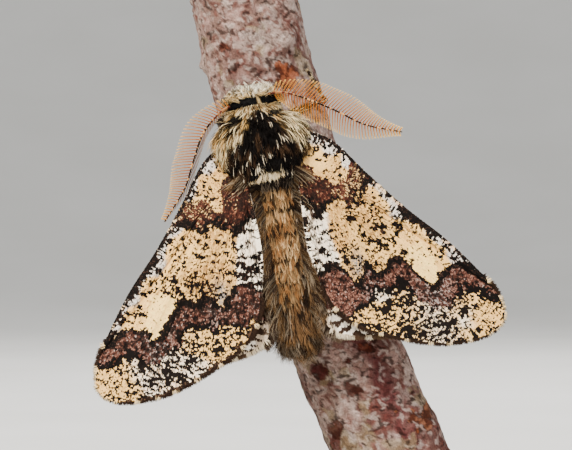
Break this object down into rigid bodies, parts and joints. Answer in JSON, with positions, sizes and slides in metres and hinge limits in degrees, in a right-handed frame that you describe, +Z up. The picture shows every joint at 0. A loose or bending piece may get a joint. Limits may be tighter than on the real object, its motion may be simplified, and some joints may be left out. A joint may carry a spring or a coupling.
{
  "type": "oak beauty moth on a twig",
  "caption": "Life-size still model of a male oak beauty moth at rest, wings spread on a cut twig, on a round stand.",
  "frame": {"origin": "middle of the stand base's underside", "axes": "+Z up, out of the base; +Y from the moth's back into the twig, the way a viewer looks; +X to that viewer's right"},
  "size_m": [0.0382, 0.034, 0.0629],
  "materials": {
    "thorax_fur": "coarse fur in cream, brown and black",
    "head_fur": "pale fur with a black band",
    "abdomen_fur": "orange-brown fur with black bands",
    "forewing": "matt scales in cream, black and red-brown",
    "hindwing": "matt grey-brown scales",
    "antenna": "satin orange-brown comb on a cream shaft",
    "eye": "glossy black-brown",
    "leg": "short fur, banded dark and pale",
    "bark": "rough grey and maroon bark",
    "stand_rod": "satin",
    "stand_base": "satin dark grey"
  },
  "bodies": {
    "root": {"thorax": "thorax_fur", "head": "head_fur", "abdomen": "abdomen_fur", "forewing_left": "forewing", "forewing_right": "forewing", "hindwing_left": "hindwing", "hindwing_right": "hindwing", "antenna_left": "antenna", "antenna_right": "antenna", "eye_left": "eye", "eye_right": "eye", "leg_fore_left": "leg", "leg_fore_right": "leg", "leg_mid_left": "leg", "leg_mid_right": "leg", "leg_hind_left": "leg", "leg_hind_right": "leg", "perch_twig": "bark", "stand_rod": "stand_rod", "stand_base": "stand_base"}
  },
  "joints": []
}
